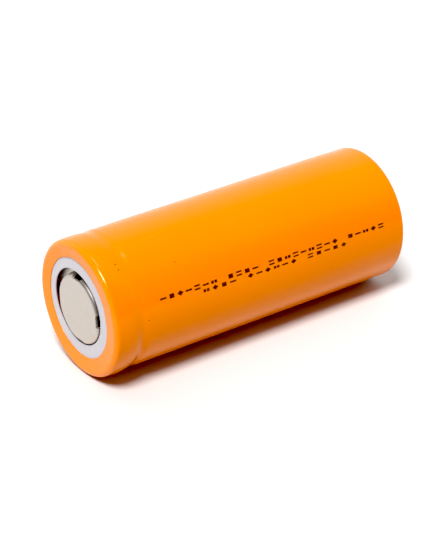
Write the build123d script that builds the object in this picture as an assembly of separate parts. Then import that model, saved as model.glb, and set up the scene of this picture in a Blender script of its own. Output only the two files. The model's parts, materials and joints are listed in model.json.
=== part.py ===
from build123d import *
import os
from math import acos, ceil, cos, floor, hypot, pi, radians, sin, tan

# Cylindrical lithium iron phosphate cell, 26 mm class, 65 mm long, lying on its side.
# Frame: cell axis along Y, positive terminal facing -Y, +Z up, origin at the centre of the cell.
# Each piece is drawn upright (axis Z, positive end up) and laid down when it is written.
# Places along the axis are depths below the edge of the sleeve's front (positive) opening.
# A piece's "top" is its end nearer the positive terminal, its "bottom" the end nearer the rear.
# Only the button and the crest of the crimped end have negative depths.

# ---- shared dimensions -----------------------------------------------------
length = 65.40            # from the edge of the front opening to the rear of the sleeve
button_top = -0.30        # face of the button, level with the crest of the crimped end
overall = length - button_top
front_opening_radius = 9.52   # opening of the sleeve over the positive end
crimp_slope = 0.119       # rise of the crimped end per mm of radius, from opening to crest
overcut = 1.0             # how far a cutter runs past the face it breaks through


# ---- helpers ---------------------------------------------------------------
def height(depth):
    """Z of a depth while the cell stands upright."""
    return overall / 2 + button_top - depth


def crimped(radius, depth):
    """Depth at a radius of a crimped face that lies at the given depth at the opening."""
    return depth - crimp_slope * (radius - front_opening_radius)


def profile_face(corners):
    """Closed profile in the XZ plane from (radius, depth[, rounding]) corners."""
    points = [Vector(corner[0], 0, height(corner[1])) for corner in corners]
    count = len(points)
    bends = []            # (start, middle of the arc or None, end) at each corner
    for i, point in enumerate(points):
        rounding = corners[i][2] if len(corners[i]) > 2 else 0
        if rounding == 0:
            bends.append((point, None, point))
            continue
        back = (points[i - 1] - point).normalized()
        ahead = (points[(i + 1) % count] - point).normalized()
        half_angle = acos(back.dot(ahead)) / 2
        setback = rounding / tan(half_angle)
        inward = (back + ahead).normalized()
        middle = point + inward * (rounding / sin(half_angle) - rounding)
        bends.append((point + back * setback, middle, point + ahead * setback))
    edges = []
    for i, (start, middle, end) in enumerate(bends):
        if middle is not None:
            edges.append(Edge.make_three_point_arc(start, middle, end))
        next_start = bends[(i + 1) % count][0]
        if (next_start - end).length > 1e-6:   # roundings may meet with no straight between
            edges.append(Edge.make_line(end, next_start))
    return Face(Wire(edges))


def turned(corners):
    return revolve(profile_face(corners), Axis.Z, 360)


def ring(inner, outer, top, bottom):
    return turned([(inner, top), (outer, top), (outer, bottom), (inner, bottom)])


def rod(radius, top, bottom, x=0.0, y=0.0):
    return Pos(x, y, (height(top) + height(bottom)) / 2) * Cylinder(radius, bottom - top)


def block(x0, x1, width, top, bottom):
    """Box from x0 to x1, with its width centred on y = 0."""
    middle = Pos((x0 + x1) / 2, 0, (height(top) + height(bottom)) / 2)
    return middle * Box(x1 - x0, width, bottom - top)


def drilled(part, hole_radius, circle_radius, degrees, top, bottom):
    """The part with through holes on a circle, at the given angles."""
    for degree in degrees:
        x = circle_radius * cos(radians(degree))
        y = circle_radius * sin(radians(degree))
        part -= rod(hole_radius, top - overcut, bottom + overcut, x, y)
    return part


# ---- outside ---------------------------------------------------------------
sleeve_crimp_radius = 13.10   # sleeve outside, over the crimped end
sleeve_body_radius = 12.96    # sleeve outside, over the rest of the can
film = 0.12                   # sleeve thickness
rear_opening_radius = 9.90
front_rounding, rear_rounding = 1.00, 0.80
# where the film sinks into the bead groove
dip_depth, dip_radius, dip_half_length = 5.35, 12.70, 1.50
dip_edge_rounding, dip_rounding = 0.6, 0.8


def shrink_sleeve():
    dip_top = dip_depth - dip_half_length
    dip_bottom = dip_depth + dip_half_length
    crimp_inner = sleeve_crimp_radius - film
    body_inner = sleeve_body_radius - film
    return turned([
        # outer face, front to rear
        (front_opening_radius, 0),
        (sleeve_crimp_radius, crimped(sleeve_crimp_radius, 0), front_rounding),
        (sleeve_crimp_radius, dip_top, dip_edge_rounding),
        (dip_radius, dip_depth, dip_rounding),
        (sleeve_body_radius, dip_bottom, dip_edge_rounding),
        (sleeve_body_radius, length, rear_rounding),
        (rear_opening_radius, length),
        # inner face, rear to front
        (rear_opening_radius, length - film),
        (body_inner, length - film, rear_rounding - film),
        (body_inner, dip_bottom, dip_edge_rounding),
        (dip_radius - film, dip_depth, dip_rounding),
        (crimp_inner, dip_top, dip_edge_rounding),
        (crimp_inner, crimped(crimp_inner, film), front_rounding - film),
        (front_opening_radius, film)])


washer_top, washer_thickness = 0.141, 0.25
washer_radius, washer_hole_radius = 11.95, 7.40
washer_blank_inner = 5.0                        # inner radius before the hole is punched
washer_hole_x, washer_hole_y = -0.45, 0.20      # the hole is punched a little off centre


def insulating_washer():
    bottom = washer_top + washer_thickness
    blank = turned([
        (washer_blank_inner, washer_top), (front_opening_radius, washer_top),
        (washer_radius, crimped(washer_radius, washer_top)),
        (washer_radius, crimped(washer_radius, bottom)),
        (front_opening_radius, bottom), (washer_blank_inner, bottom)])
    return blank - rod(washer_hole_radius, washer_top - overcut, bottom + overcut,
                       washer_hole_x, washer_hole_y)


can_crimp_radius, can_body_radius = 12.95, 12.80   # outside, crimped end and rest of the can
can_wall, base_thickness = 0.25, 0.30
lip_top = 0.411               # outer face of the crimped lip, at the radius of the opening
lip_radius = 10.00            # free edge of the crimped lip
base_bottom = 65.26           # outer face of the base
land_radius, land_height, land_flank = 9.40, 0.06, 0.06   # raised land on the base
bead_radius = 11.55           # bottom of the bead groove, outside
bead_top, bead_bottom = 4.25, 6.30   # flanks of the bead groove, outside


def steel_can():
    crimp_inner = can_crimp_radius - can_wall
    body_inner = can_body_radius - can_wall
    bead_inner = bead_radius - can_wall
    lip_bottom = lip_top + can_wall
    return turned([
        # outer face, base to lip
        (0, base_bottom + land_height), (land_radius, base_bottom + land_height),
        (land_radius + land_flank, base_bottom), (can_body_radius, base_bottom, 0.75),
        (can_body_radius, bead_bottom, 0.50), (bead_radius, bead_bottom, 0.45),
        (bead_radius, bead_top, 0.45), (can_crimp_radius, bead_top, 0.50),
        (can_crimp_radius, crimped(can_crimp_radius, lip_top), 0.90),
        (lip_radius, crimped(lip_radius, lip_top)),
        # inner face, lip to base
        (lip_radius, crimped(lip_radius, lip_bottom)),
        (crimp_inner, crimped(crimp_inner, lip_bottom), 0.65),
        (crimp_inner, bead_top - can_wall, 0.05), (bead_inner, bead_top - can_wall, 0.70),
        (bead_inner, bead_bottom + can_wall, 0.70), (body_inner, bead_bottom + can_wall, 0.05),
        (body_inner, base_bottom - base_thickness, 0.45), (0, base_bottom - base_thickness)])


# ---- header ----------------------------------------------------------------
gasket_top, gasket_bottom = 0.681, 3.98
gasket_inner, gasket_outer, gasket_wall = 9.20, 12.68, 0.53
gasket_top_thickness, gasket_bottom_thickness = 0.60, 0.92
skirt_inner, skirt_outer, skirt_bottom = 10.20, 10.80, 5.95


def crimp_gasket():
    groove_radius = gasket_outer - gasket_wall
    groove_top = gasket_top + gasket_top_thickness
    groove_bottom = gasket_bottom - gasket_bottom_thickness
    return turned([
        (gasket_inner, crimped(gasket_inner, gasket_top), 0.15),
        (gasket_outer, crimped(gasket_outer, gasket_top), 0.62),
        (gasket_outer, gasket_bottom, 0.10), (skirt_outer, gasket_bottom),
        (skirt_outer, skirt_bottom, 0.20), (skirt_inner, skirt_bottom, 0.20),
        (skirt_inner, gasket_bottom, 0.20), (gasket_inner, gasket_bottom),
        (gasket_inner, groove_bottom), (groove_radius, groove_bottom),
        (groove_radius, groove_top), (gasket_inner, groove_top, 0.15)])


button_radius, button_foot_radius = 6.55, 6.75
button_rounding = 0.60        # between the button's face and its side
button_thickness, button_wall = 0.42, 0.32
flange_top, flange_thickness, flange_radius = 1.30, 0.50, 12.10
vent_count, vent_first_deg = 4, 3.5
vent_width, vent_inner, vent_outer, vent_bottom = 2.60, 6.05, 7.6, 1.12
vent_rounding = 0.35


def positive_cap():
    flange_bottom = flange_top + flange_thickness
    button_bottom = button_top + button_thickness
    cap = turned([
        (0, button_top), (button_radius, button_top, button_rounding),
        (button_foot_radius, flange_top, 0.20), (flange_radius, flange_top, 0.08),
        (flange_radius, flange_bottom, 0.08),
        (button_foot_radius - button_wall, flange_bottom, 0.35),
        (button_radius - button_wall, button_bottom, 0.20), (0, button_bottom)])
    for i in range(vent_count):
        slot = block(vent_inner, vent_outer, vent_width, button_top - overcut, vent_bottom)
        inner_edges = slot.edges().filter_by(Axis.Z).group_by(Axis.X)[0]
        slot = fillet(inner_edges, vent_rounding)
        cap -= Rot(0, 0, vent_first_deg + i * 360 / vent_count) * slot
    return cap


ptc_top, ptc_thickness, ptc_inner = 1.82, 0.50, 7.60


def ptc_ring():
    return ring(ptc_inner, flange_radius, ptc_top, ptc_top + ptc_thickness)


disc_top, disc_rim_thickness, disc_web_thickness = 2.34, 0.70, 0.30
disc_web_bottom = disc_top + disc_web_thickness
rim_step_radius = 9.15        # where the thick rim meets the web
score_radius, score_gap = 5.55, 0.05   # the score divides the disc into rim and centre
disc_centre_top = 3.55        # upper face of the sunken centre
stack_gap = 0.02              # clearance between the stacked pieces
plate_top, plate_thickness, plate_radius = 4.00, 0.50, 7.85
plate_bottom = plate_top + plate_thickness


def burst_disc_rim():
    inner = score_radius + score_gap
    rim_bottom = disc_top + disc_rim_thickness
    return turned([
        (inner, disc_top), (flange_radius, disc_top, 0.08), (flange_radius, rim_bottom, 0.08),
        (rim_step_radius, rim_bottom), (rim_step_radius, disc_web_bottom, 0.10),
        (inner, disc_web_bottom)])


def burst_disc_centre():
    bottom = plate_top - stack_gap
    return turned([
        (0, disc_centre_top), (1.80, disc_centre_top, 0.25), (3.60, disc_top, 0.40),
        (score_radius, disc_top), (score_radius, disc_web_bottom),
        (3.75, disc_web_bottom, 0.40), (2.10, bottom, 0.25), (0, bottom)])


spacer_inner, spacer_outer, spacer_bottom = 6.95, 9.05, 4.60
spacer_plate_clearance = 0.03


def cid_spacer_ring():
    top = disc_web_bottom + stack_gap
    step = plate_top - stack_gap
    pocket_radius = plate_radius + spacer_plate_clearance
    return turned([
        (spacer_inner, top), (spacer_outer, top), (spacer_outer, spacer_bottom),
        (pocket_radius, spacer_bottom, 0.10), (pocket_radius, step), (spacer_inner, step)])


plate_hole_radius, plate_hole_circle = 0.75, 5.0
# the thinned ring round the weld land at the centre of the plate, cut from below
thinned_inner, thinned_outer, thinned_thickness = 1.6, 2.4, 0.35


def cid_base_plate():
    plate = drilled(rod(plate_radius, plate_top, plate_bottom), plate_hole_radius,
                    plate_hole_circle, range(30, 360, 60), plate_top, plate_bottom)
    return plate - ring(thinned_inner, thinned_outer, plate_top + thinned_thickness,
                        plate_bottom + overcut)


# ---- winding ---------------------------------------------------------------
roll_inner, pitch, turns = 2.30, 0.91, 10.0
flats = 32                    # flats per turn of the winding
layers = {                    # inner and outer radial offset of each layer within one turn
    "inner_separator": (0.00, 0.06),
    "positive_coating_in": (0.10, 0.20),
    "positive_foil": (0.24, 0.29),
    "positive_coating_out": (0.33, 0.43),
    "outer_separator": (0.47, 0.53),
    "negative_coating_in": (0.57, 0.66),
    "negative_foil": (0.70, 0.74),
    "negative_coating_out": (0.78, 0.87),
}
separator_span = (7.15, 64.20)             # top and bottom of each strip
negative_top, negative_bottom = 7.80, 63.50
positive_top, positive_bottom = 8.40, 62.90
coating_inset = 0.05          # bare foil along each edge
positive_tab_turn, negative_tab_turn = 5.0, 9.86
positive_tab_offset, negative_tab_offset = 0.15, 0.82   # where tab widths are measured
bare_stripe = 6.4             # width left uncoated on the positive foil, for the tab


def flat_corner(offset, index):
    """Corner between two flats of the winding, at a radial offset."""
    radius = roll_inner + offset + pitch * index / flats
    angle = 2 * pi * index / flats
    return radius * cos(angle), radius * sin(angle)


def spiral_point(offset, turn):
    """Point on the winding, taken along the flat it falls on."""
    index = floor(turn * flats + 1e-9)
    along = turn * flats - index
    x0, y0 = flat_corner(offset, index)
    x1, y1 = flat_corner(offset, index + 1)
    return x0 + (x1 - x0) * along, y0 + (y1 - y0) * along


def wound(offsets, start, end, top, bottom):
    """Strip wound in a spiral between two radial offsets; start and end are in turns."""
    corners = range(ceil(start * flats + 1e-6), ceil(end * flats - 1e-6))
    stations = [start] + [i / flats for i in corners] + [end]
    outline = [spiral_point(offsets[0], turn) for turn in stations]
    outline += [spiral_point(offsets[1], turn) for turn in reversed(stations)]
    wire = Wire.make_polygon([Vector(x, y, height(bottom)) for x, y in outline], close=True)
    return extrude(Face(wire), amount=bottom - top, dir=(0, 0, 1))


def half_turns(width, turn, offset):
    """Half of a width, in turns, at the radius it lies at."""
    return width / 2 / (roll_inner + pitch * turn + offset) / (2 * pi)


def coating(side, spans, top, bottom):
    """Coating on both faces of a foil, over spans given in turns."""
    return Compound(children=[
        wound(layers[f"{side}_coating_{face}"], start, end,
              top + coating_inset, bottom - coating_inset).solid()
        for face in ("in", "out") for start, end in spans])


def positive_foil():
    return wound(layers["positive_foil"], 0.10, turns - 0.12, positive_top, positive_bottom)


def positive_coating():
    half = half_turns(bare_stripe, positive_tab_turn, positive_tab_offset)
    spans = ((0.14, positive_tab_turn - half), (positive_tab_turn + half, turns - 0.16))
    return coating("positive", spans, positive_top, positive_bottom)


def negative_foil():
    return wound(layers["negative_foil"], 0.05, turns - 0.04, negative_top, negative_bottom)


def negative_coating():
    return coating("negative", ((0.08, turns - 0.26),), negative_top, negative_bottom)


def inner_separator():
    return wound(layers["inner_separator"], 0.0, turns, *separator_span)


def outer_separator():
    return wound(layers["outer_separator"], 0.0, turns, *separator_span)


def winding_tape():
    return ring(inner=12.20, outer=12.28, top=10.0, bottom=61.0)


pin_inner, pin_outer, pin_top, pin_bottom = 1.45, 1.75, 8.00, 63.00
pin_slit, pin_taper, pin_taper_length = 0.60, 0.15, 0.6


def centre_pin():
    tip = pin_outer - pin_taper
    tube = turned([
        (pin_inner, pin_top), (tip, pin_top), (pin_outer, pin_top + pin_taper_length),
        (pin_outer, pin_bottom - pin_taper_length), (tip, pin_bottom), (pin_inner, pin_bottom)])
    return tube - block(0, 3, pin_slit, pin_top - overcut, pin_bottom + overcut)


# ---- tabs ------------------------------------------------------------------
tab_width = 4.00              # where the tab lies in the winding
strap_width = 3.90            # where it crosses the end of the roll
tab_thickness = 0.09
positive_tab_layer, negative_tab_layer = (0.11, 0.20), (0.78, 0.86)   # radial offsets
positive_tab_radius = roll_inner + pitch * positive_tab_turn + sum(positive_tab_layer) / 2
negative_tab_radius = roll_inner + pitch * negative_tab_turn + sum(negative_tab_layer) / 2
strap_top, fold_top = 5.20, 4.55   # the positive strap, and its end folded back above it
fold_x, fold_end_x = -4.0, 3.0
negative_tab_bottom = 64.94


def positive_tab():
    half = half_turns(tab_width, positive_tab_turn, positive_tab_offset)
    strap_bottom = strap_top + tab_thickness
    tab = wound(positive_tab_layer, positive_tab_turn - half, positive_tab_turn + half,
                strap_top, 45.0)
    tab += block(fold_x, positive_tab_radius, strap_width, strap_top, strap_bottom)
    tab += block(fold_x - tab_thickness, fold_x, strap_width, fold_top, strap_bottom)
    tab += block(fold_x, fold_end_x, strap_width, fold_top, fold_top + tab_thickness)
    return tab


def positive_tab_tape():
    """Sheath of tape round the tab where it leaves the roll."""
    turn = positive_tab_turn
    inner = half_turns(tab_width + 0.25, turn, positive_tab_offset)
    outer = half_turns(tab_width + 0.55, turn, positive_tab_offset)
    sheath = wound((0.03, 0.28), turn - outer, turn + outer, 5.40, 7.05)
    return sheath - wound((0.09, 0.22), turn - inner, turn + inner, 5.0, 7.5)


def negative_tab():
    half = half_turns(tab_width, negative_tab_turn, negative_tab_offset)
    tab = wound(negative_tab_layer, negative_tab_turn - half, negative_tab_turn + half,
                28.0, negative_tab_bottom)
    tab += Rot(0, 0, negative_tab_turn * 360) * block(
        -1.6, negative_tab_radius - 0.10, strap_width,
        negative_tab_bottom - tab_thickness, negative_tab_bottom)
    return tab


def negative_tab_tape():
    return Rot(0, 0, negative_tab_turn * 360) * block(3.0, 10.5, 5.2, 64.76, 64.82)


# ---- insulators ------------------------------------------------------------
insulator_centre_hole = 2.2   # radius


def insulator(radius, top, bottom):
    hole = rod(insulator_centre_hole, top - overcut, bottom + overcut)
    return rod(radius, top, bottom) - hole


def upper_insulator():
    top, bottom = 6.58, 6.98
    disc = insulator(12.40, top, bottom)
    # slot for the positive tab
    disc -= block(positive_tab_radius - 0.85, positive_tab_radius + 0.75, 5.6,
                  top - overcut, bottom + overcut)
    return drilled(disc, 1.1, 7.2, range(60, 360, 60), top, bottom)


def lower_insulator():
    top, bottom = 64.40, 64.70
    disc = insulator(11.70, top, bottom)
    return drilled(disc, 0.9, 7.0, range(45, 360, 90), top, bottom)


# ---- write -----------------------------------------------------------------
pieces = (
    shrink_sleeve, insulating_washer, steel_can, crimp_gasket, positive_cap, ptc_ring,
    burst_disc_rim, burst_disc_centre, cid_spacer_ring, cid_base_plate,
    upper_insulator, lower_insulator,
    positive_tab, positive_tab_tape, negative_tab, negative_tab_tape,
    positive_foil, positive_coating, negative_foil, negative_coating,
    inner_separator, outer_separator, winding_tape, centre_pin,
)
os.makedirs("parts", exist_ok=True)
for piece in pieces:          # each file takes the name of its function
    export_step(Rot(90, 0, 0) * piece(), os.path.join("parts", piece.__name__ + ".step"))
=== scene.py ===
"""A cylindrical battery cell in an orange shrink sleeve, lying on a pale floor.

The cell's axis is Y, with its front end (cap, washer) towards -Y and +Z up. Meshes are worked
out in mm from three values: radius from the axis, depth behind the edge of the sleeve's front
opening (growing towards +Y), and angle about the axis, from +X towards +Z.
"""
import json
import math
import bpy
import bmesh
import numpy as np
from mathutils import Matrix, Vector


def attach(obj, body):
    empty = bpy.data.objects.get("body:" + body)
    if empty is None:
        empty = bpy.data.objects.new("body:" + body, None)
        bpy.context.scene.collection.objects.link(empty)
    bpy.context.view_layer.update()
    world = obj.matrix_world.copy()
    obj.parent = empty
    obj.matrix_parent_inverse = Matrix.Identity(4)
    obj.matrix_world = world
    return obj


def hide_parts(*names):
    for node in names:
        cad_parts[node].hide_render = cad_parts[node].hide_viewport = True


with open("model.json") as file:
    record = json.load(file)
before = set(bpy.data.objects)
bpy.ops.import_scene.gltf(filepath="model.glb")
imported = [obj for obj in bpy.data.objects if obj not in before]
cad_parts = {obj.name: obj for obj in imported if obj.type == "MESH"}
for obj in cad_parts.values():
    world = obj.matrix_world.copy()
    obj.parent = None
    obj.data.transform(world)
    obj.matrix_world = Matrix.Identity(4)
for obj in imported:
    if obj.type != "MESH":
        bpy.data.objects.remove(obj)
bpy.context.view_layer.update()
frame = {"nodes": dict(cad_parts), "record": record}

MM = 0.001
TAU = 2 * math.pi

# Sleeve, mm
MID_DEPTH = 32.55         # depth of the origin
LENGTH = 65.40            # depth of the rear end
RADIUS = 13.10            # outside of the sleeve
REAR_RADIUS = 12.98       # outside of the sleeve at the rear end
FRONT_OPENING = 9.52      # radius
REAR_OPENING = 9.90       # radius
FILM = 0.13               # film thickness
FRONT_ROUND = 1.05        # radius of the front shoulder
FRONT_ROUND_AT = (11.976, 0.75)   # its centre: radius, depth
REAR_ROUND = 0.80         # radius of the rear shoulder
SLOPE = 0.1255            # rise of the front face per mm outwards


# ------------------------------------------------------------------ geometry helpers
def mesh_object(name, verts_mm, faces, material, smooth=True):
    mesh = bpy.data.meshes.new(name)
    mesh.from_pydata((np.asarray(verts_mm, float) * MM).tolist(), [], faces)
    mesh.validate()
    mesh.update()
    if smooth:
        mesh.polygons.foreach_set("use_smooth", [True] * len(mesh.polygons))
    ob = bpy.data.objects.new(name, mesh)
    bpy.context.scene.collection.objects.link(ob)
    mesh.materials.append(material)
    return ob


def cell_piece(name, verts, faces, material, slot, replaces=None, smooth=True):
    """A closed mesh with outward normals that rides on the cell."""
    ob = mesh_object(name, verts, faces, material, smooth)
    bm = bmesh.new()
    bm.from_mesh(ob.data)
    bmesh.ops.recalc_face_normals(bm, faces=bm.faces)
    bm.to_mesh(ob.data)
    bm.free()
    ob.data.update()
    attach(ob, "cell")
    if replaces:
        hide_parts(replaces)
    return ob


def smoothstep(start, end, x):
    t = np.clip((x - start) / (end - start), 0, 1)
    return t * t * (3 - 2 * t)


def bell(x):
    """A cosine bump, 1 at x = 0 and 0 beyond -1 and 1."""
    return np.where(abs(x) < 1, 0.5 + 0.5 * np.cos(np.pi * np.clip(x, -1, 1)), 0.0)


def harmonics(angle, seed, low, high, power=1.0):
    """A seeded sum of sines round the axis, of orders low to high, about unit size."""
    rng = np.random.RandomState(seed)
    wave = np.zeros_like(angle)
    total = 0.0
    for n in range(low, high + 1):
        size = rng.uniform(0.5, 1.0) / (n ** power)
        wave = wave + size * np.sin(n * angle + rng.uniform(0, TAU))
        total += size * size
    return wave / math.sqrt(total / 2 + 1e-9)


def cell_points(radius, depth, angle):
    return np.stack([radius * np.cos(angle), depth - MID_DEPTH, radius * np.sin(angle)], -1)


def lathe(profile, segments, warp):
    """Turns a closed profile of (radius, depth) points about the Y axis.
    warp(radius, depth, angle) gives a new (radius, depth) grid."""
    points = np.asarray(profile, float)
    rings = len(points)
    radius = np.repeat(points[:, :1], segments, 1)
    depth = np.repeat(points[:, 1:2], segments, 1)
    angle = np.repeat((np.arange(segments) * TAU / segments)[None, :], rings, 0)
    radius, depth = warp(radius, depth, angle)
    faces = []
    for i in range(rings):
        this = i * segments
        following = (i + 1) % rings * segments
        for j in range(segments):
            k = (j + 1) % segments
            faces.append((this + j, this + k, following + k, following + j))
    return cell_points(radius, depth, angle).reshape(-1, 3), faces


def line(start, end, count):
    """Evenly spaced (radius, depth) points."""
    return np.linspace(start, end, count).tolist()


def arc(centre, rounding, start, end, count):
    """(radius, depth) points; 0 degrees is outwards, 90 degrees is towards the front."""
    return [(centre[0] + rounding * math.cos(a), centre[1] - rounding * math.sin(a))
            for a in np.radians(np.linspace(start, end, count))]


# ------------------------------------------------------------------ shader helpers
# A value is a number, a colour (grey level or RGB) or the output of another node.
materials = {}


def new_material(name):
    material = bpy.data.materials.new(name)
    material.use_nodes = True
    tree = material.node_tree
    tree.nodes.remove(tree.nodes["Principled BSDF"])
    shader = node(tree, "BsdfPrincipled")
    tree.links.new(shader.outputs[0], tree.nodes["Material Output"].inputs[0])
    materials[name] = material
    return tree, shader


def node(tree, kind, **settings):
    made = tree.nodes.new("ShaderNode" + kind)
    for key, value in settings.items():
        setattr(made, key, value)
    return made


def rgba(colour):
    return (*colour, 1) if isinstance(colour, tuple) else (colour, colour, colour, 1)


def feed(tree, value, socket):
    """Links an output to an input, or sets the input's value."""
    if isinstance(value, bpy.types.NodeSocket):
        tree.links.new(value, socket)
    else:
        socket.default_value = rgba(value) if socket.type == "RGBA" else value


def surface(tree, shader, colour, roughness):
    feed(tree, colour, shader.inputs["Base Color"])
    feed(tree, roughness, shader.inputs["Roughness"])


def ramp(tree, value, *stops):
    """A colour ramp; each stop is (position, colour)."""
    made = node(tree, "ValToRGB")
    elements = made.color_ramp.elements
    while len(elements) > 1:
        elements.remove(elements[-1])
    elements[0].position = stops[0][0]
    elements[0].color = rgba(stops[0][1])
    for position, colour in stops[1:]:
        elements.new(position).color = rgba(colour)
    feed(tree, value, made.inputs[0])
    return made.outputs[0]


def calc(tree, operation, *values):
    made = node(tree, "Math", operation=operation)
    for i, value in enumerate(values):
        feed(tree, value, made.inputs[i])
    return made.outputs[0]


def mix(tree, amount, first, second, mode="MIX"):
    made = node(tree, "Mix", data_type="RGBA", blend_type=mode)
    for i, value in ((0, amount), (6, first), (7, second)):
        feed(tree, value, made.inputs[i])
    return made.outputs[2]


def noise_at(tree, vector, detail, roughness):
    made = node(tree, "TexNoise")
    made.inputs["Scale"].default_value = 1.0
    made.inputs["Detail"].default_value = detail
    made.inputs["Roughness"].default_value = roughness
    feed(tree, vector, made.inputs["Vector"])
    return made.outputs["Fac"]


def noise(tree, scale, detail=2.0, roughness=0.5):
    """Noise in object space; scale is in cycles per metre, one for all axes or (x, y, z)."""
    mapping = node(tree, "Mapping")
    mapping.inputs["Scale"].default_value = scale if isinstance(scale, tuple) else (scale,) * 3
    feed(tree, node(tree, "TexCoord").outputs["Object"], mapping.inputs[0])
    return noise_at(tree, mapping.outputs[0], detail, roughness)


def bump(tree, shader, height, strength, distance, under=None):
    """distance is in metres; under is a bump this one lies on."""
    made = node(tree, "Bump")
    made.inputs["Strength"].default_value = strength
    made.inputs["Distance"].default_value = distance
    feed(tree, height, made.inputs["Height"])
    if under is not None:
        feed(tree, under, made.inputs["Normal"])
    feed(tree, made.outputs[0], shader.inputs["Normal"])
    return made.outputs[0]


def position(tree):
    """The object coordinates, whole and as x, y, z."""
    whole = node(tree, "TexCoord").outputs["Object"]
    split = node(tree, "SeparateXYZ")
    feed(tree, whole, split.inputs[0])
    return whole, split.outputs


def axis_distance(tree, x, z):
    squares = calc(tree, "ADD", calc(tree, "MULTIPLY", x, x), calc(tree, "MULTIPLY", z, z))
    return calc(tree, "SQRT", squares)


# ------------------------------------------------------------------ materials
def film_material():
    """Orange shrink film."""
    tree, shader = new_material("sleeve_film")
    whole, (_, y, _) = position(tree)
    # slow colour drift
    drift = noise(tree, (120, 45, 120), detail=3.0)
    colour = ramp(tree, drift, (0.25, (0.715, 0.186, 0.0010)), (0.75, (0.745, 0.197, 0.0014)))
    # painted sheen: the film over the ends is paler, standing in for the whitish reflection of
    # the surroundings on the end faces; stops are fractions of 40 mm from the middle
    from_middle = calc(tree, "ABSOLUTE", calc(tree, "MULTIPLY", y, 1000.0 / 40))
    ends = calc(tree, "MULTIPLY", ramp(tree, from_middle, (0.804, 0), (0.8135, 1)), 1.0)
    colour = mix(tree, calc(tree, "MULTIPLY", ends, 0.70), colour, (0.82, 0.236, 0.026))
    # tiny dark inclusions, only where a second noise is high
    cells = node(tree, "TexVoronoi", feature="F1")
    cells.inputs["Scale"].default_value = 260.0
    feed(tree, whole, cells.inputs["Vector"])
    speck = ramp(tree, cells.outputs["Distance"], (0.035, 1), (0.075, 0))
    picked = ramp(tree, noise(tree, 90, detail=0.0), (0.66, 0), (0.70, 1))
    amount = calc(tree, "MULTIPLY", calc(tree, "MULTIPLY", speck, picked), 0.5)
    colour = mix(tree, amount, colour, (0.30, 0.05, 0.004))
    # handling haze: soft roughness clouds and faint lengthwise rub marks
    cloud = noise(tree, (160, 60, 160), detail=4.0, roughness=0.6)
    rub = noise(tree, (1500, 30, 1500), detail=2.0, roughness=0.6)
    haze = ramp(tree, cloud, (0.3, 0.17), (0.75, 0.26))
    rubbed = calc(tree, "MULTIPLY", ramp(tree, rub, (0.62, 0), (0.75, 1)), 0.06)
    surface(tree, shader, colour, calc(tree, "ADD", haze, rubbed))
    shader.inputs["IOR"].default_value = 1.50
    shader.inputs["Specular IOR Level"].default_value = 0.5
    shader.inputs["Specular Tint"].default_value = (1.0, 0.80, 0.50, 1)
    # fine texture under small lumps
    texture = noise(tree, 900, detail=3.0, roughness=0.55)
    lumps = noise(tree, (140, 70, 140), detail=1.0, roughness=0.4)
    fine = bump(tree, shader, texture, strength=0.06, distance=0.00002)
    bump(tree, shader, lumps, strength=0.25, distance=0.00006, under=fine)


def washer_material():
    tree, shader = new_material("washer_board")
    fibre = noise(tree, 700, detail=5.0, roughness=0.65)
    stain = ramp(tree, noise(tree, 110), (0.55, 0), (0.75, 1))
    colour = ramp(tree, fibre, (0.3, (0.470, 0.475, 0.505)), (0.7, (0.505, 0.510, 0.540)))
    colour = mix(tree, calc(tree, "MULTIPLY", stain, 0.25), colour, (0.44, 0.40, 0.42))
    surface(tree, shader, colour, ramp(tree, fibre, (0.3, 0.55), (0.7, 0.68)))
    shader.inputs["Specular IOR Level"].default_value = 0.4
    bump(tree, shader, fibre, strength=0.30, distance=0.00001)


def ink_material():
    tree, shader = new_material("print_ink")
    grain = noise(tree, 2400)
    surface(tree, shader,
            ramp(tree, grain, (0.35, (0.060, 0.010, 0.002)), (0.70, (0.135, 0.030, 0.004))),
            ramp(tree, grain, (0.3, 0.40), (0.7, 0.55)))
    shader.inputs["Specular IOR Level"].default_value = 0.3
    bump(tree, shader, grain, strength=0.2, distance=0.000005)


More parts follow.
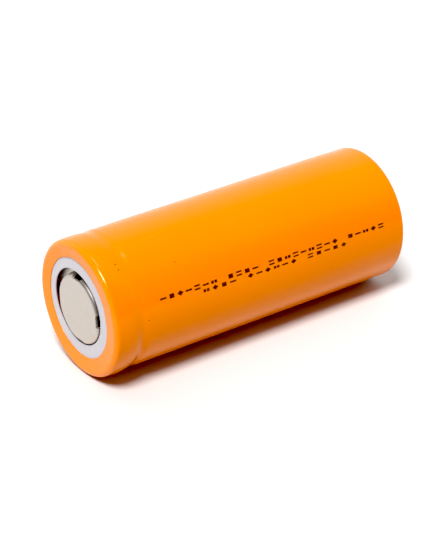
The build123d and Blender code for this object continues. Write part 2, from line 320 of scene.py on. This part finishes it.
def metal_material(name, dark, light, rough, grain=(2600, 60, 60), grain_amount=0.10,
                   spots=0.35, rim=None, rings=0.0):
    """rough is the (least, most) roughness, spots the strength of small dark spots, rim a list
    of (radius in mm, brightness) for painted shade on one side of the rounded edge, and rings the
    frequency of turned rings, per metre."""
    tree, shader = new_material(name)
    shader.inputs["Metallic"].default_value = 1.0
    cloud = noise(tree, 300, detail=4.0, roughness=0.6)
    streak = noise(tree, grain, detail=3.0, roughness=0.6)
    streak_tint = (dark[0] * 0.72, dark[1] * 0.70, dark[2] * 0.68)
    spot_tint = (dark[0] * 0.6, dark[1] * 0.58, dark[2] * 0.55)
    colour = ramp(tree, cloud, (0.3, dark), (0.7, light))
    streaked = calc(tree, "MULTIPLY", ramp(tree, streak, (0.35, 1), (0.65, 0)), grain_amount)
    colour = mix(tree, streaked, colour, streak_tint)
    spot = ramp(tree, noise(tree, 1400, detail=1.0), (0.70, 0), (0.76, 1))
    colour = mix(tree, calc(tree, "MULTIPLY", spot, spots), colour, spot_tint)
    if rings:
        # turned grain: noise that varies only with the distance from the axis
        _, (x, _, z) = position(tree)
        across = node(tree, "CombineXYZ")
        feed(tree, calc(tree, "MULTIPLY", axis_distance(tree, x, z), rings), across.inputs[0])
        turned = noise_at(tree, across.outputs[0], detail=3.0, roughness=0.7)
        colour = mix(tree, 1.0, colour, ramp(tree, turned, (0.32, 0.80), (0.68, 1.0)), "MULTIPLY")
    if rim:
        # painted shade: the rounded edge is darkened on the side about 0.80 radians only, to dim
        # the highlight it catches there; ramp positions are in cm
        _, (x, _, z) = position(tree)
        distance = calc(tree, "MULTIPLY", axis_distance(tree, x, z), 100.0)
        turn = calc(tree, "SUBTRACT", calc(tree, "ARCTAN2", z, x), 0.80)
        side = ramp(tree, calc(tree, "COSINE", turn), (0.45, 0), (0.80, 1))
        shade = ramp(tree, distance, *[(radius / 10.0, level) for radius, level in rim])
        colour = mix(tree, side, colour, mix(tree, 1.0, colour, shade, "MULTIPLY"))
    haze = ramp(tree, cloud, (0.3, rough[0]), (0.7, rough[1]))
    surface(tree, shader, colour, calc(tree, "ADD", haze, calc(tree, "MULTIPLY", streak, 0.10)))
    bump(tree, shader, streak, strength=0.5, distance=0.000004)


def plastic_material(name, dark, light, rough, scale=400, bump_distance=0.00001):
    tree, shader = new_material(name)
    cloud = noise(tree, scale, detail=3.0, roughness=0.6)
    fine = noise(tree, scale * 4, detail=2.0, roughness=0.6)
    surface(tree, shader, ramp(tree, cloud, (0.3, dark), (0.7, light)),
            ramp(tree, fine, (0.3, rough * 0.9), (0.7, rough * 1.15)))
    bump(tree, shader, fine, strength=0.4, distance=bump_distance)


def floor_material():
    tree, shader = new_material("pale_floor")
    surface(tree, shader, ramp(tree, noise(tree, 30), (0.3, 0.695), (0.7, 0.705)), 0.9)
    shader.inputs["Specular IOR Level"].default_value = 0.0


film_material()
washer_material()
ink_material()
# painted shade on one side of the cap's rounded rim: radius in mm, brightness
CAP_RIM_PAINTED_SHADE = ((5.85, 1.0), (6.05, 0.92), (6.25, 0.80), (6.42, 0.55), (6.53, 0.34), (6.70, 0.36),
           (7.40, 0.8))
metal_material("cap_nickel", (0.630, 0.600, 0.550), (0.665, 0.640, 0.590), rough=(0.40, 0.48),
               grain=(55, 900, 900), rim=CAP_RIM_PAINTED_SHADE)
metal_material("nickel_plated_steel", (0.50, 0.475, 0.435), (0.60, 0.575, 0.53),
               rough=(0.24, 0.38), grain=(500, 500, 500), grain_amount=0.12, rings=2400)
metal_material("soft_aluminium", (0.80, 0.80, 0.81), (0.87, 0.87, 0.88), rough=(0.25, 0.35),
               spots=0.1)
metal_material("tab_nickel", (0.62, 0.60, 0.55), (0.70, 0.68, 0.62), rough=(0.25, 0.40))
metal_material("copper_foil", (0.80, 0.40, 0.24), (0.86, 0.47, 0.30), rough=(0.28, 0.40))
metal_material("pin_steel", (0.50, 0.50, 0.49), (0.58, 0.57, 0.56), rough=(0.30, 0.45))
plastic_material("gasket_plastic", (0.200, 0.022, 0.008), (0.260, 0.034, 0.012), rough=0.45)
plastic_material("ptc_polymer", (0.012, 0.012, 0.013), (0.020, 0.020, 0.022), rough=0.6)
plastic_material("white_plastic", (0.74, 0.74, 0.72), (0.80, 0.80, 0.78), rough=0.45)
plastic_material("amber_tape", (0.62, 0.20, 0.02), (0.70, 0.26, 0.03), rough=0.25)
plastic_material("lfp_coating", (0.010, 0.010, 0.011), (0.018, 0.018, 0.020), rough=0.75,
                 scale=1500, bump_distance=0.00003)
plastic_material("graphite_coating", (0.004, 0.004, 0.0045), (0.008, 0.008, 0.009), rough=0.6,
                 scale=1500, bump_distance=0.00003)
plastic_material("separator_film", (0.83, 0.83, 0.81), (0.88, 0.88, 0.87), rough=0.5, scale=1500)
plastic_material("green_tape", (0.015, 0.17, 0.05), (0.022, 0.21, 0.07), rough=0.25)

# each CAD piece's slot has the name of its material
for part in frame["record"]["subparts"]:
    slots = frame["nodes"][part["node"]].data.materials
    slots.clear()
    slots.append(materials[part["material_slot"]])


# ------------------------------------------------------------------ shrink sleeve
CROWN, CROWN_END, CROWN_LENGTH = 0.077, 2.9, 2.2      # fall towards the front, over these depths
TOP_DIP, TOP_DIP_AT, TOP_DIP_HALF = 0.11, 5.35, 1.65  # over the bead groove, along the top
GROOVE, GROOVE_AT, GROOVE_WIDTH = 0.34, 5.5, 0.85     # into the groove, along the bottom
CREASES = ((-38, 0.012), (142, 0.010))                # angle in degrees, height
CREASE_WIDTH = 0.28


def film_radius(depth, angle):
    """Outside of the film on the side of the cell. Along the top it bridges the bead groove
    almost flat; along the bottom it is drawn tight, so that the groove shows."""
    base = RADIUS - CROWN * np.clip((CROWN_END - depth) / CROWN_LENGTH, 0, 1) ** 2
    top = (base - 0.05 * smoothstep(3.0, 8.0, depth)
           - TOP_DIP * bell((depth - TOP_DIP_AT) / TOP_DIP_HALF))
    # the bottom steps in behind the crimp, then widens slowly towards the rear
    bottom = (base - 0.27 * np.clip((depth - 2.45) / 2.3, 0, 1)
              - GROOVE * np.exp(-((depth - GROOVE_AT) / GROOVE_WIDTH) ** 2)
              + 0.0030 * np.clip(depth - 8, 0, 40))
    low = (0.5 - 0.5 * np.sin(angle)) ** 0.8
    radius = top * (1 - low) + bottom * low
    radius = radius + (REAR_RADIUS - radius) * smoothstep(57.0, 63.5, depth)
    # lengthwise waviness and the creases of the flattened tube, dying out at the ends
    middle = smoothstep(6.0, 11.0, depth) * smoothstep(63.5, 60.0, depth)
    wave = np.sin(depth * 0.21 + 1.3 * np.sin(angle)) * harmonics(angle, 9, 1, 4)
    radius = radius + middle * 0.006 * wave
    for degrees, height in CREASES:
        away = np.angle(np.exp(1j * (angle - math.radians(degrees)))) * RADIUS
        radius = radius + middle * height * np.exp(-(away / CREASE_WIDTH) ** 2)
    return radius


def sleeve_profile():
    def front(radius, inset=0.0):
        return radius, inset - SLOPE * (radius - FRONT_OPENING)

    edge = FILM / 2                              # rounding of the free edges
    shoulder = REAR_RADIUS - REAR_ROUND          # radius of the rear shoulder's centre
    shoulder_depth = LENGTH - REAR_ROUND
    bore = RADIUS - FILM
    outside = (
        line(front(FRONT_OPENING + 0.06), front(11.78), 15)
        + arc(FRONT_ROUND_AT, FRONT_ROUND, 97.15, 4, 20)
        + line((RADIUS, 0.81), (RADIUS, 2.58), 36)
        + line((RADIUS, 2.70), (RADIUS, 8.2), 56)
        + line((RADIUS, 8.7), (RADIUS, shoulder_depth - 0.25), 72)
        + arc((shoulder, shoulder_depth), REAR_ROUND, 0, -90, 14)
        + line((shoulder - 0.1, LENGTH), (REAR_OPENING + 0.06, LENGTH), 12))
    # round the rear free edge, then the inside back to the front free edge
    inside = (
        arc((REAR_OPENING + edge, LENGTH - edge), edge, 270, 90, 7)
        + line((REAR_OPENING + 0.1, LENGTH - FILM), (shoulder - 0.1, LENGTH - FILM), 6)
        + arc((shoulder, shoulder_depth), REAR_ROUND - FILM, -90, 0, 8)
        + line((bore, shoulder_depth - 0.4), (bore, 8.4), 14)
        + line((bore, 8.0), (bore, 1.2), 28)
        + arc(FRONT_ROUND_AT, FRONT_ROUND - FILM, 4, 97.15, 9)
        + line(front(11.75, FILM), front(FRONT_OPENING + 0.12, FILM), 6)
        + arc((FRONT_OPENING + edge, edge), edge, 270, 90, 7))
    return outside + inside


def sleeve_warp(radius, depth, angle):
    # the openings are not perfect circles, and the front one is off centre
    weight = smoothstep(11.6, FRONT_OPENING, radius) * (depth < 1.5)
    shift = -0.28 * np.cos(angle) + 0.14 * np.sin(angle)
    radius = radius + weight * (shift + 0.030 * harmonics(angle, 3, 2, 5)
                                + 0.012 * harmonics(angle, 4, 9, 22, 0.5))
    weight = smoothstep(11.4, REAR_OPENING, radius) * (depth > 60)
    radius = radius + weight * (0.05 * harmonics(angle, 5, 2, 6)
                                + 0.02 * harmonics(angle, 6, 9, 26, 0.5))
    # shallow radial pleats that fade towards the shoulders
    weight = smoothstep(12.3, 10.0, radius) * (depth < 1.5)
    depth = depth - weight * 0.010 * harmonics(angle, 7, 14, 34, 0.2)
    weight = smoothstep(12.6, 10.2, radius) * (depth > 60)
    depth = depth + weight * 0.016 * harmonics(angle, 8, 12, 36, 0.2)
    side = (depth > 0.80) & (depth < LENGTH - REAR_ROUND - 0.2) & (radius > 12.5)
    radius = np.where(side, film_radius(depth, angle) - (RADIUS - radius), radius)
    return radius, depth


film = cell_piece("shrink_film", *lathe(sleeve_profile(), 320, sleeve_warp),
                  materials["sleeve_film"], "sleeve_film", replaces="shrink_sleeve")

# ------------------------------------------------------------------ insulating washer
WASHER_FRONT = 0.155      # depth of the front face
WASHER_BACK = WASHER_FRONT + 0.25
WASHER_OUTER = 11.9       # radii
WASHER_HOLE = 7.38
WASHER_EDGE = 0.05        # rounding of the edges


def washer_profile():
    edge = WASHER_EDGE
    outer, inner = WASHER_OUTER - edge, WASHER_HOLE + edge
    front, back = WASHER_FRONT + edge, WASHER_BACK - edge
    return (
        [(inner, WASHER_FRONT), (WASHER_HOLE + 0.35, WASHER_FRONT)]
        + line((WASHER_HOLE + 0.8, WASHER_FRONT), (outer, WASHER_FRONT), 9)
        + arc((outer, front), edge, 80, 0, 4)
        + arc((outer, back), edge, 0, -80, 4)
        + line((outer - 0.1, WASHER_BACK), (WASHER_HOLE + 0.2, WASHER_BACK), 6)
        + arc((inner, back), edge, -100, -180, 4)
        + arc((inner, front), edge, 180, 100, 5))


def washer_warp(radius, depth, angle):
    weight = smoothstep(9.3, WASHER_HOLE, radius)
    # the board follows the slope of the film
    depth = depth - SLOPE * np.clip(radius - FRONT_OPENING, 0, None)
    # the hole is off centre, slightly oval and a little uneven
    hole = (-0.66 * np.cos(angle) + 0.16 * np.sin(angle)
            + 0.20 * np.cos(2 * angle) - 0.04 * np.sin(2 * angle))
    radius = radius + weight * (hole + 0.015 * harmonics(angle, 21, 2, 7)
                                + 0.006 * harmonics(angle, 22, 20, 50, 0.1))
    # it stands slightly proud inwards of the film
    proud = 0.015 * smoothstep(11.5, 9.0, radius)
    return radius, depth - proud * (1 + 0.5 * np.sin(2 * angle + 0.4))


washer = cell_piece("washer_ring", *lathe(washer_profile(), 300, washer_warp),
                    materials["washer_board"], "washer_board", replaces="insulating_washer")

# ------------------------------------------------------------------ marks on the sleeve
# Places on the film are (arc, depth): arc is the angle times the sleeve's radius.
MARK_WIDTH = 1.40         # along the cell
MARK_FACES = (0.010, -0.030)      # heights of a patch's two faces above the film
# Shapes in each group, depths of the row's ends, arc of its near and far edges at each end
MARK_ROWS = (((7, 4, 9, 5), (9.5, 60.4), (4.24, 3.58), (5.28, 4.52)),
             ((4, 6, 5), (18.6, 51.3), (3.06, 2.56), (4.05, 3.40)))
FLECKS = ((59.1, 3.71, 0.15), (53.8, 3.75, 0.13), (7.3, 6.67, 0.11))  # degrees, depth, radius


def box(u0, u1, v0, v1):
    return (u0, v0), (u1, v0), (u1, v1), (u0, v1)


# Outlines in a unit square: u runs along the cell, v round it
MARK_SHAPES = (
    (box(0.14, 0.86, 0.10, 0.90),),                                  # square
    (box(0.02, 0.98, 0.34, 0.66),),                                  # dash
    (box(0.04, 0.44, 0.22, 0.78), box(0.56, 0.96, 0.22, 0.78)),      # two small squares
    (((0.5, 0), (0.97, 0.5), (0.5, 1), (0.03, 0.5)),),               # diamond
    (box(0.06, 0.94, 0.04, 0.34), box(0.06, 0.94, 0.66, 0.96)),      # two dashes
)


def add_patch(verts, faces, outline):
    """Adds a thin closed patch that follows the film, from a convex outline of (arc, depth)."""
    corners = np.asarray(outline, float)
    centre = corners.mean(0)
    splits = 5
    rim = [a + (b - a) * j / splits
           for a, b in zip(corners, np.roll(corners, -1, axis=0)) for j in range(splits)]
    rings = [np.array([centre + (p - centre) * f for p in rim]) for f in (1.0, 0.6, 0.25)]
    n = len(rim)
    sheet = np.concatenate(rings + [centre[None]])
    outer = len(verts)
    inner = outer + len(sheet)
    angle, depth = sheet[:, 0] / RADIUS, sheet[:, 1]
    for height in MARK_FACES:
        verts.extend(cell_points(film_radius(depth, angle) + height, depth, angle))
    following = [(j + 1) % n for j in range(n)]
    for start, step in ((outer, 1), (inner, -1)):
        for ring in (start, start + n):
            for j, k in enumerate(following):
                faces.append((ring + j, ring + k, ring + n + k, ring + n + j)[::step])
        last = start + 2 * n
        for j, k in enumerate(following):
            faces.append((last + j, last + k, last + n)[::step])
    for j, k in enumerate(following):
        faces.append((outer + k, outer + j, inner + j, inner + k))


def add_row(verts, faces, rng, groups, ends, near, far):
    """Adds groups of random shapes, one empty cell between groups and no shape twice running."""
    cells = sum(groups) + len(groups) - 1
    step = (ends[1] - ends[0] - MARK_WIDTH) / (cells - 1)
    cell, last = 0, -1
    for count in groups:
        for _ in range(count):
            depth = ends[0] + cell * step
            along = (depth - ends[0]) / (ends[1] - ends[0])
            kind = rng.randint(0, 5)
            if kind == last:
                kind = (kind + 1) % 5
            last = kind
            start = near[0] + (near[1] - near[0]) * along
            height = far[0] + (far[1] - far[0]) * along - start
            for outline in MARK_SHAPES[kind]:
                add_patch(verts, faces, [(start + height * v, depth + MARK_WIDTH * u)
                                         for u, v in outline])
            cell += 1
        cell += 1


def print_marks():
    """Two rows of plain printed shapes and three dark flecks."""
    verts, faces = [], []
    rng = np.random.RandomState(11)
    for row in MARK_ROWS:
        add_row(verts, faces, rng, *row)
    for degrees, depth, radius in FLECKS:
        middle = math.radians(degrees) * RADIUS
        add_patch(verts, faces, [(middle + radius * math.cos(a), depth + radius * math.sin(a))
                                 for a in np.arange(6) * TAU / 6])
    return cell_piece("print_marks", np.array(verts), faces, materials["print_ink"],
                      "sleeve_film", smooth=False)


marks = print_marks()

# ------------------------------------------------------------------ floor and world
FLOOR_RADIUS = 4000.0     # mm
FLOOR_SIDES = 96


def make_floor():
    floor_material()
    rim = [(FLOOR_RADIUS * math.cos(i * TAU / FLOOR_SIDES),
            FLOOR_RADIUS * math.sin(i * TAU / FLOOR_SIDES), -RADIUS) for i in range(FLOOR_SIDES)]
    mesh_object("floor", rim, [tuple(range(FLOOR_SIDES))], materials["pale_floor"],
                         smooth=False)


def map_range(tree, value, **limits):
    made = node(tree, "MapRange", interpolation_type="SMOOTHSTEP")
    for key, limit in limits.items():
        made.inputs[key.replace("_", " ").title()].default_value = limit
    feed(tree, value, made.inputs["Value"])
    return made.outputs["Result"]


def make_world():
    """Bright and white towards -X +Y, dimmer and redder on the camera's side."""
    world = bpy.data.worlds.new("studio")
    bpy.context.scene.world = world
    world.use_nodes = True
    tree = world.node_tree
    facing = node(tree, "VectorMath", operation="DOT_PRODUCT")
    feed(tree, node(tree, "TexCoord").outputs["Generated"], facing.inputs[0])
    facing.inputs[1].default_value = (-0.64, 0.76, 0.10)
    facing = facing.outputs["Value"]
    strength = map_range(tree, facing, from_min=-0.16, from_max=0.24, to_min=0.11, to_max=1.02)
    whiteness = map_range(tree, facing, from_min=-0.25, from_max=0.25)
    background = tree.nodes["Background"]
    feed(tree, mix(tree, whiteness, (1.0, 0.44, 0.46), (1.0, 1.0, 1.0)), background.inputs[0])
    feed(tree, strength, background.inputs[1])


make_floor()
make_world()


# ------------------------------------------------------------------ lights, metres
def light(name, kind, place, target=(0, 0, 0), **settings):
    data = bpy.data.lights.new(name, kind)
    for key, value in settings.items():
        setattr(data, key, value)
    ob = bpy.data.objects.new(name, data)
    bpy.context.scene.collection.objects.link(ob)
    ob.location = place
    ob.rotation_euler = (Vector(target) - Vector(place)).to_track_quat("-Z", "Y").to_euler()
    return ob


def receivers(name, objects):
    group = bpy.data.collections.new(name)
    for ob in objects:
        # guards against an object that is listed twice
        if ob.name not in group.objects:
            group.objects.link(ob)
    return group


light("softbox", "SUN", (0.29, -0.37, 0.89), energy=3.95, color=(1.0, 0.99, 0.98),
      angle=math.radians(19))
# lights the cell only, so that it throws no shadow on the floor
fill = light("front_fill", "SUN", (0.0, -0.97, 0.24), energy=0.95, color=(1.0, 0.98, 0.97),
             angle=math.radians(30))
fill.visible_glossy = False
fill.light_linking.receiver_collection = receivers(
    "fill_receivers", [*frame["nodes"].values(), film, washer, marks])
# two small windows that light only the film, for short streaks on its front shoulder
GLINT_DISTANCE = 0.90
glint_receivers = receivers("glint_receivers", [film])
for name, direction, width, height, power in (
        ("glint_1", (-0.12, 0.13, 0.985), 0.30, 0.06, 1.40),
        ("glint_2", (0.42, 0.12, 0.90), 0.07, 0.04, 0.10)):
    glint = light(name, "AREA", tuple(Vector(direction).normalized() * GLINT_DISTANCE),
                  target=(0, -0.03, 0), energy=power, color=(1.0, 0.95, 0.88),
                  shape="RECTANGLE", size=width, size_y=height)
    glint.light_linking.receiver_collection = glint_receivers

# ------------------------------------------------------------------ camera and view
AZIMUTH = math.radians(54.77)     # from -Y towards +X
ELEVATION = math.radians(29.90)
DISTANCE = 385.7                  # mm, along the line of sight
CELL_RIGHT, CELL_UP = 2.726, 3.798    # mm, the origin's offset from the line of sight


def make_camera():
    back = Vector((math.sin(AZIMUTH) * math.cos(ELEVATION),
                   -math.cos(AZIMUTH) * math.cos(ELEVATION), math.sin(ELEVATION)))
    right = Vector((math.cos(AZIMUTH), math.sin(AZIMUTH), 0))
    up = back.cross(right)
    data = bpy.data.cameras.new("camera")
    data.sensor_fit = "VERTICAL"
    data.sensor_height = 36.0
    data.sensor_width = 36.0
    data.lens = 132.62478
    data.clip_start = 0.01
    data.clip_end = 20.0
    camera = bpy.data.objects.new("camera", data)
    bpy.context.scene.collection.objects.link(camera)
    camera.location = (-CELL_RIGHT * right - CELL_UP * up + DISTANCE * back) * MM
    camera.rotation_euler = (-back).to_track_quat("-Z", "Y").to_euler()
    bpy.context.scene.camera = camera


make_camera()

view = bpy.context.scene.view_settings
view.view_transform = "Standard"
view.look = "None"
view.exposure = 0.0
view.gamma = 1.0
view.use_curve_mapping = True
view.curve_mapping.black_level = (0.042, 0.042, 0.042)
view.curve_mapping.white_level = (1.0, 1.0, 1.0)
view.curve_mapping.update()
